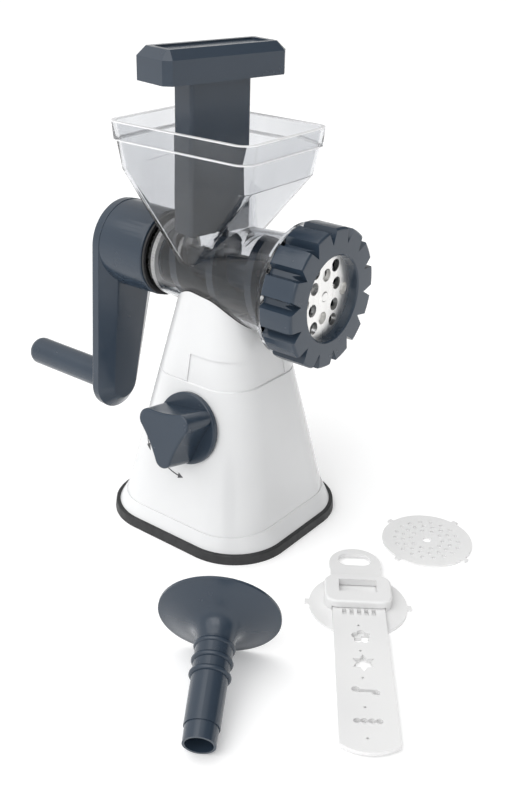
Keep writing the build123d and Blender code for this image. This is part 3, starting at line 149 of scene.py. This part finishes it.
def noise(tree, scale, detail=4.0, stretch=(1.0, 1.0, 1.0)):
    """Factor of a noise in object coordinates, scale in cells per metre."""
    place = tree.nodes.new("ShaderNodeTexCoord")
    mapping = tree.nodes.new("ShaderNodeMapping")
    mapping.inputs["Scale"].default_value = stretch
    texture = tree.nodes.new("ShaderNodeTexNoise")
    texture.inputs["Scale"].default_value = scale
    texture.inputs["Detail"].default_value = detail
    tree.links.new(place.outputs["Object"], mapping.inputs["Vector"])
    tree.links.new(mapping.outputs["Vector"], texture.inputs["Vector"])
    return texture.outputs["Fac"]


def spread(tree, factor, low, high):
    """The factor's middle band mapped to low..high."""
    remap = tree.nodes.new("ShaderNodeMapRange")
    remap.inputs["From Min"].default_value = 0.3
    remap.inputs["From Max"].default_value = 0.7
    remap.inputs["To Min"].default_value = low
    remap.inputs["To Max"].default_value = high
    tree.links.new(factor, remap.inputs["Value"])
    return remap.outputs["Result"]


def tint(tree, factor, first, second):
    """A colour that wanders between two near tones."""
    ramp = tree.nodes.new("ShaderNodeValToRGB")
    ramp.color_ramp.elements[0].position = 0.32
    ramp.color_ramp.elements[0].color = (*first, 1.0)
    ramp.color_ramp.elements[1].position = 0.68
    ramp.color_ramp.elements[1].color = (*second, 1.0)
    tree.links.new(factor, ramp.inputs["Fac"])
    return ramp.outputs["Color"]


def bump(tree, height, strength, distance, under=None):
    """Normal from a height factor, laid over another normal if one is given."""
    relief = tree.nodes.new("ShaderNodeBump")
    relief.inputs["Strength"].default_value = strength
    relief.inputs["Distance"].default_value = distance
    tree.links.new(height, relief.inputs["Height"])
    if under is not None:
        tree.links.new(under, relief.inputs["Normal"])
    return relief.outputs["Normal"]


def link(thing):
    """Put a new object in the scene."""
    bpy.context.scene.collection.objects.link(thing)


# ================================================================ finishes
def moulded_plastic(name, tones, gloss, coat, grain):
    """Injection moulded plastic: slow tone drift, uneven gloss and faint orange peel."""
    material, tree, shader = new_material(name)
    drift = noise(tree, 14.0, 3.0)
    tree.links.new(tint(tree, drift, *tones), shader.inputs["Base Color"])
    smudge = noise(tree, 70.0, 5.0)
    tree.links.new(spread(tree, smudge, *gloss), shader.inputs["Roughness"])
    peel = bump(tree, noise(tree, 420.0, 2.0), grain, 0.0002)
    skin = bump(tree, noise(tree, 3200.0, 2.0), grain * 0.6, 0.00005, peel)
    tree.links.new(skin, shader.inputs["Normal"])
    shader.inputs["Coat Weight"].default_value = coat
    shader.inputs["Coat Roughness"].default_value = 0.06
    return material


def band(tree, height, centre, half):
    """1 within half of the height centre, fading to 0 at twice that."""
    offset = tree.nodes.new("ShaderNodeMath")
    offset.operation = "SUBTRACT"
    offset.inputs[1].default_value = centre
    tree.links.new(height, offset.inputs[0])
    size = tree.nodes.new("ShaderNodeMath")
    size.operation = "ABSOLUTE"
    tree.links.new(offset.outputs[0], size.inputs[0])
    fade = tree.nodes.new("ShaderNodeMapRange")
    fade.inputs["From Min"].default_value = half
    fade.inputs["From Max"].default_value = 2 * half
    fade.inputs["To Min"].default_value = 1.0
    fade.inputs["To Max"].default_value = 0.0
    tree.links.new(size.outputs[0], fade.inputs["Value"])
    return fade.outputs["Result"]


def clear_polycarbonate(name):
    """Clear plastic with a grey tint that is partly its own and partly painted shade; the bright
    lines on the rim and its step are painted highlights, set by height.
    """
    material, tree, shader = new_material(name)
    place = tree.nodes.new("ShaderNodeTexCoord")
    split = tree.nodes.new("ShaderNodeSeparateXYZ")
    tree.links.new(place.outputs["Object"], split.inputs["Vector"])
    rim_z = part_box("grinder_body")[1][2]
    # Painted highlight: two bands of height, at the rim and at its step, where the colour turns
    # white
    painted_glint_node = tree.nodes.new("ShaderNodeMath")
    painted_glint_node.operation = "MAXIMUM"
    tree.links.new(band(tree, split.outputs["Z"], rim_z, PAINTED_GLINT_HALF), painted_glint_node.inputs[0])
    tree.links.new(band(tree, split.outputs["Z"], rim_z - RIM_STEP_DROP, PAINTED_GLINT_HALF),
                   painted_glint_node.inputs[1])
    edges = painted_glint_node.outputs[0]
    flow = noise(tree, 22.0, 2.0, (1.0, 1.0, 0.25))
    # the grey tint is partly the plastic's own and partly painted shade
    clear = tint(tree, flow, *CLEAR_GREY_AND_SHADE_TONES)
    mix = tree.nodes.new("ShaderNodeMix")
    mix.data_type = "RGBA"
    mix.inputs["B"].default_value = (*PAINTED_GLINT_TONE, 1.0)
    tree.links.new(edges, mix.inputs["Factor"])
    tree.links.new(clear, mix.inputs["A"])
    tree.links.new(mix.outputs["Result"], shader.inputs["Base Color"])
    # less light passes through the painted highlight bands
    clarity = tree.nodes.new("ShaderNodeMapRange")
    clarity.inputs["To Min"].default_value = 1.0
    clarity.inputs["To Max"].default_value = PAINTED_GLINT_CLARITY
    tree.links.new(edges, clarity.inputs["Value"])
    tree.links.new(clarity.outputs["Result"], shader.inputs["Transmission Weight"])
    tree.links.new(spread(tree, noise(tree, 90.0, 2.0), 0.0, 0.012), shader.inputs["Roughness"])
    tree.links.new(bump(tree, flow, 0.05, 0.0004), shader.inputs["Normal"])
    shader.inputs["IOR"].default_value = CLEAR_IOR
    return material


def rubber(name, tones):
    """Matt rubber with a fine pitted skin and dusty patches."""
    material, tree, shader = new_material(name)
    tree.links.new(tint(tree, noise(tree, 55.0, 6.0), *tones), shader.inputs["Base Color"])
    tree.links.new(spread(tree, noise(tree, 240.0, 4.0), 0.48, 0.66), shader.inputs["Roughness"])
    pits = bump(tree, noise(tree, 2600.0, 3.0), 0.35, 0.00012)
    tree.links.new(pits, shader.inputs["Normal"])
    return material


def brushed_steel(name):
    """Satin stainless steel with fine lines along Z."""
    material, tree, shader = new_material(name)
    shader.inputs["Metallic"].default_value = 1.0
    lines = noise(tree, 900.0, 4.0, (1.0, 1.0, 0.04))
    tree.links.new(tint(tree, noise(tree, 60.0, 4.0), *STEEL_TONES),
                   shader.inputs["Base Color"])
    tree.links.new(spread(tree, lines, 0.24, 0.42), shader.inputs["Roughness"])
    tree.links.new(bump(tree, lines, 0.12, 0.00004), shader.inputs["Normal"])
    return material


def natural_nylon(name):
    """Milky nylon of the rear bush and the lift stem."""
    material, tree, shader = new_material(name)
    tree.links.new(tint(tree, noise(tree, 90.0, 3.0), *NYLON_TONES),
                   shader.inputs["Base Color"])
    tree.links.new(spread(tree, noise(tree, 300.0, 3.0), 0.34, 0.46), shader.inputs["Roughness"])
    tree.links.new(bump(tree, noise(tree, 1800.0, 2.0), 0.12, 0.00008), shader.inputs["Normal"])
    return material


def printed_ink(name):
    """Pad printed dark grey ink, a little worn."""
    material, tree, shader = new_material(name)
    tree.links.new(tint(tree, noise(tree, 1400.0, 4.0), *INK_TONES),
                   shader.inputs["Base Color"])
    tree.links.new(spread(tree, noise(tree, 500.0, 2.0), 0.42, 0.55), shader.inputs["Roughness"])
    return material


def studio_paper(name):
    """Plain white studio ground."""
    material, tree, shader = new_material(name)
    tree.links.new(tint(tree, noise(tree, 3.0, 2.0), *PAPER_TONES),
                   shader.inputs["Base Color"])
    shader.inputs["Roughness"].default_value = 0.9
    shader.inputs["Specular IOR Level"].default_value = 0.1
    shader.inputs["Emission Color"].default_value = (1.0, 1.0, 1.0, 1.0)
    shader.inputs["Emission Strength"].default_value = FLOOR_GLOW
    return material


FINISHES = {
    "white_plastic": moulded_plastic("white_abs", WHITE_TONES, (0.17, 0.27), 0.3, 0.05),
    "slate_plastic": moulded_plastic("slate_abs", SLATE_TONES, (0.18, 0.28), 0.0, 0.06),
    "clear_plastic": clear_polycarbonate("clear_polycarbonate"),
    "foot_rubber": rubber("foot_rubber_skin", FOOT_TONES),
    "black_rubber": rubber("gasket_rubber_skin", GASKET_TONES),
    "steel": brushed_steel("satin_steel"),
    "bush_nylon": natural_nylon("natural_nylon"),
    "accessory_plastic": moulded_plastic("accessory_white", ACCESSORY_TONES, (0.30, 0.42), 0.0,
                                         0.08),
}


def finish_nodes():
    """Each CAD node gets the finish of its slot in the record."""
    for node, slot in SLOT_OF.items():
        mesh = NODES[node].data
        mesh.materials.clear()
        mesh.materials.append(FINISHES[slot])


# ================================================================ rounded edges
def soften_edges(node, radius):
    """A copy of the node's mesh with its sharp edges rounded stands for the node."""
    mesh = NODES[node].data.copy()
    mesh.name = node + "_rounded"
    shape = bmesh.new()
    shape.from_mesh(mesh)
    bmesh.ops.remove_doubles(shape, verts=shape.verts, dist=WELD_DISTANCE)
    bmesh.ops.dissolve_limit(shape, angle_limit=FLAT_ANGLE, verts=shape.verts,
                             edges=shape.edges)
    shape.to_mesh(mesh)
    shape.free()
    for attribute in [a for a in mesh.attributes if a.name == "custom_normal"]:
        mesh.attributes.remove(attribute)
    mesh.shade_smooth()
    mesh.set_sharp_from_angle(angle=EDGE_ANGLE)
    piece = bpy.data.objects.new(node + "_rounded", mesh)
    link(piece)
    bevel = piece.modifiers.new("edges", "BEVEL")
    bevel.width = radius
    bevel.segments = EDGE_SEGMENTS
    bevel.limit_method = "ANGLE"
    bevel.angle_limit = EDGE_ANGLE
    bevel.harden_normals = True
    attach(piece, BODY_OF[node])
    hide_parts(node)


# ================================================================ printed arrows
def wall_frame():
    """The knob's centre on the -X wall, the wall's outward normal, and its two directions."""
    joint = next(j for j in frame["record"]["behaviour"]["joints"] if j["name"] == "knob_turn")
    centre = Vector(joint["pos_m"])
    normal = Vector(joint["axis"]).normalized()
    across = Vector((0, -1, 0))
    return centre, normal, across, normal.cross(across)


def shell_surface():
    """Search tree over the base shell's own mesh."""
    mesh = NODES["base_shell"].data
    corners = [vertex.co.copy() for vertex in mesh.vertices]
    faces = [tuple(face.vertices) for face in mesh.polygons]
    return BVHTree.FromPolygons(corners, faces)


def arc_arrow(name, arc, surface):
    """An arc with a head at its end, as a film of ink laid on the shell's wall."""
    radius, start, end = arc
    centre, normal, across, upward = wall_frame()
    stations = [(start + (end - start) * i / ARROW_STEPS, ARROW_LINE / 2)
                for i in range(ARROW_STEPS + 1)]
    for i in range(ARROW_HEAD_STEPS + 1):
        half = ARROW_HEAD_WIDTH / 2 * (1 - i / ARROW_HEAD_STEPS) + ARROW_TIP_HALF
        stations.append((end + ARROW_HEAD_ANGLE * i / ARROW_HEAD_STEPS, half))
    vertices = []
    for angle, half in stations:
        turn = math.radians(angle)
        for side in (-half, half):
            reach = radius + side
            spot = across * math.cos(turn) * reach + upward * math.sin(turn) * reach
            hit, face_normal, _, _ = surface.ray_cast(centre + spot + normal * RAY_START, -normal)
            for height in (INK_HEIGHT, -INK_HEIGHT):
                vertices.append(hit + face_normal * height)
    faces = []
    for index in range(len(stations) - 1):
        a = 4 * index
        b = a + 4
        faces += [(a, b, b + 2, a + 2), (a + 1, a + 3, b + 3, b + 1), (a, a + 1, b + 1, b),
                  (a + 2, b + 2, b + 3, a + 3)]
    last = 4 * (len(stations) - 1)
    faces += [(0, 2, 3, 1), (last, last + 1, last + 3, last + 2)]
    mesh = bpy.data.meshes.new(name)
    mesh.from_pydata(vertices, [], faces)
    mesh.validate()
    mesh.materials.append(INK)
    arrow = bpy.data.objects.new(name, mesh)
    link(arrow)
    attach(arrow, "stand")


# ================================================================ studio
def add_floor():
    """Plain white ground in the plane that the stand rests on."""
    half = FLOOR_SIZE / 2
    mesh = bpy.data.meshes.new("floor")
    corners = [(-half, -half, 0), (half, -half, 0), (half, half, 0), (-half, half, 0)]
    mesh.from_pydata(corners, [], [(0, 1, 2, 3)])
    mesh.materials.append(studio_paper("studio_paper"))
    floor = bpy.data.objects.new("floor", mesh)
    link(floor)


def add_softbox(name, place, aim, size, power):
    """A rectangular area light at place, turned to aim."""
    lamp = bpy.data.lights.new(name, "AREA")
    lamp.shape = "RECTANGLE"
    lamp.size, lamp.size_y = size
    lamp.energy = power
    holder = bpy.data.objects.new(name, lamp)
    holder.location = place
    holder.rotation_euler = (Vector(aim) - Vector(place)).to_track_quat("-Z", "Y").to_euler()
    link(holder)


def add_sun():
    """One very soft sun from the upper left."""
    lamp = bpy.data.lights.new("soft_sun", "SUN")
    lamp.energy = SUN_STRENGTH
    lamp.angle = math.radians(SUN_SPREAD)
    holder = bpy.data.objects.new("soft_sun", lamp)
    holder.rotation_euler = Vector(SUN_HEADING).to_track_quat("-Z", "Y").to_euler()
    link(holder)


def add_light():
    """Studio that is white on one side and at the horizon, a soft sun and the softboxes."""
    world = bpy.data.worlds.new("studio")
    world.use_nodes = True
    tree = world.node_tree
    backdrop = tree.nodes["Background"]
    backdrop.inputs["Color"].default_value = (1.0, 1.0, 1.0, 1.0)
    direction = tree.nodes.new("ShaderNodeTexCoord")
    across = tree.nodes.new("ShaderNodeVectorMath")
    across.operation = "DOT_PRODUCT"
    across.inputs[1].default_value = LIT_SIDE
    tree.links.new(direction.outputs["Generated"], across.inputs[0])
    falloff = tree.nodes.new("ShaderNodeMapRange")
    falloff.interpolation_type = "SMOOTHSTEP"
    falloff.inputs["From Min"].default_value = DIM_BELOW
    falloff.inputs["From Max"].default_value = BRIGHT_ABOVE
    falloff.inputs["To Min"].default_value = WORLD_DIM
    falloff.inputs["To Max"].default_value = WORLD_BRIGHT
    tree.links.new(across.outputs["Value"], falloff.inputs["Value"])
    split = tree.nodes.new("ShaderNodeSeparateXYZ")
    tree.links.new(direction.outputs["Generated"], split.inputs["Vector"])
    haze = tree.nodes.new("ShaderNodeMapRange")
    haze.inputs["From Min"].default_value = HAZE_TOP
    haze.inputs["From Max"].default_value = HAZE_TOP + HAZE_FADE
    haze.inputs["To Min"].default_value = 1.0
    haze.inputs["To Max"].default_value = 0.0
    tree.links.new(split.outputs["Z"], haze.inputs["Value"])
    strength = tree.nodes.new("ShaderNodeMix")
    strength.inputs["B"].default_value = 1.0
    tree.links.new(haze.outputs["Result"], strength.inputs["Factor"])
    tree.links.new(falloff.outputs["Result"], strength.inputs["A"])
    tree.links.new(strength.outputs["Result"], backdrop.inputs["Strength"])
    bpy.context.scene.world = world
    add_sun()
    for name, (place, size, power) in SOFTBOXES.items():
        add_softbox(name, place, LIGHT_AIM, size, power)


def add_camera():
    """Camera at the viewing angle of the picture."""
    azimuth = math.radians(CAMERA_AZIMUTH)
    elevation = math.radians(CAMERA_ELEVATION)
    roll = math.radians(CAMERA_ROLL)
    right = Vector((math.cos(azimuth), math.sin(azimuth), 0))
    back = Vector((math.sin(azimuth) * math.cos(elevation),
                   -math.cos(azimuth) * math.cos(elevation), math.sin(elevation)))
    above = back.cross(right)
    image_right = right * math.cos(roll) + above * math.sin(roll)
    image_up = above * math.cos(roll) - right * math.sin(roll)
    aim = right * CAMERA_SIDE_STEP + Vector((0, 0, CAMERA_AIM_Z))
    lens = bpy.data.cameras.new("camera")
    lens.lens = LENS_MM
    lens.sensor_width = SENSOR_MM
    lens.clip_start = CLIP_NEAR
    lens.clip_end = CLIP_FAR
    camera = bpy.data.objects.new("camera", lens)
    turn = Matrix((image_right, image_up, back)).transposed()
    camera.matrix_world = Matrix.Translation(aim + back * CAMERA_DISTANCE) @ turn.to_4x4()
    link(camera)
    bpy.context.scene.camera = camera


INK = printed_ink("arrow_ink")
finish_nodes()
for node, radius in EDGE_ROUNDS.items():
    soften_edges(node, radius)
shell = shell_surface()
arc_arrow("release_arrow", RELEASE_ARC, shell)
arc_arrow("lock_arrow", LOCK_ARC, shell)
add_floor()
add_light()
add_camera()
bpy.context.scene.view_settings.view_transform = "Standard"
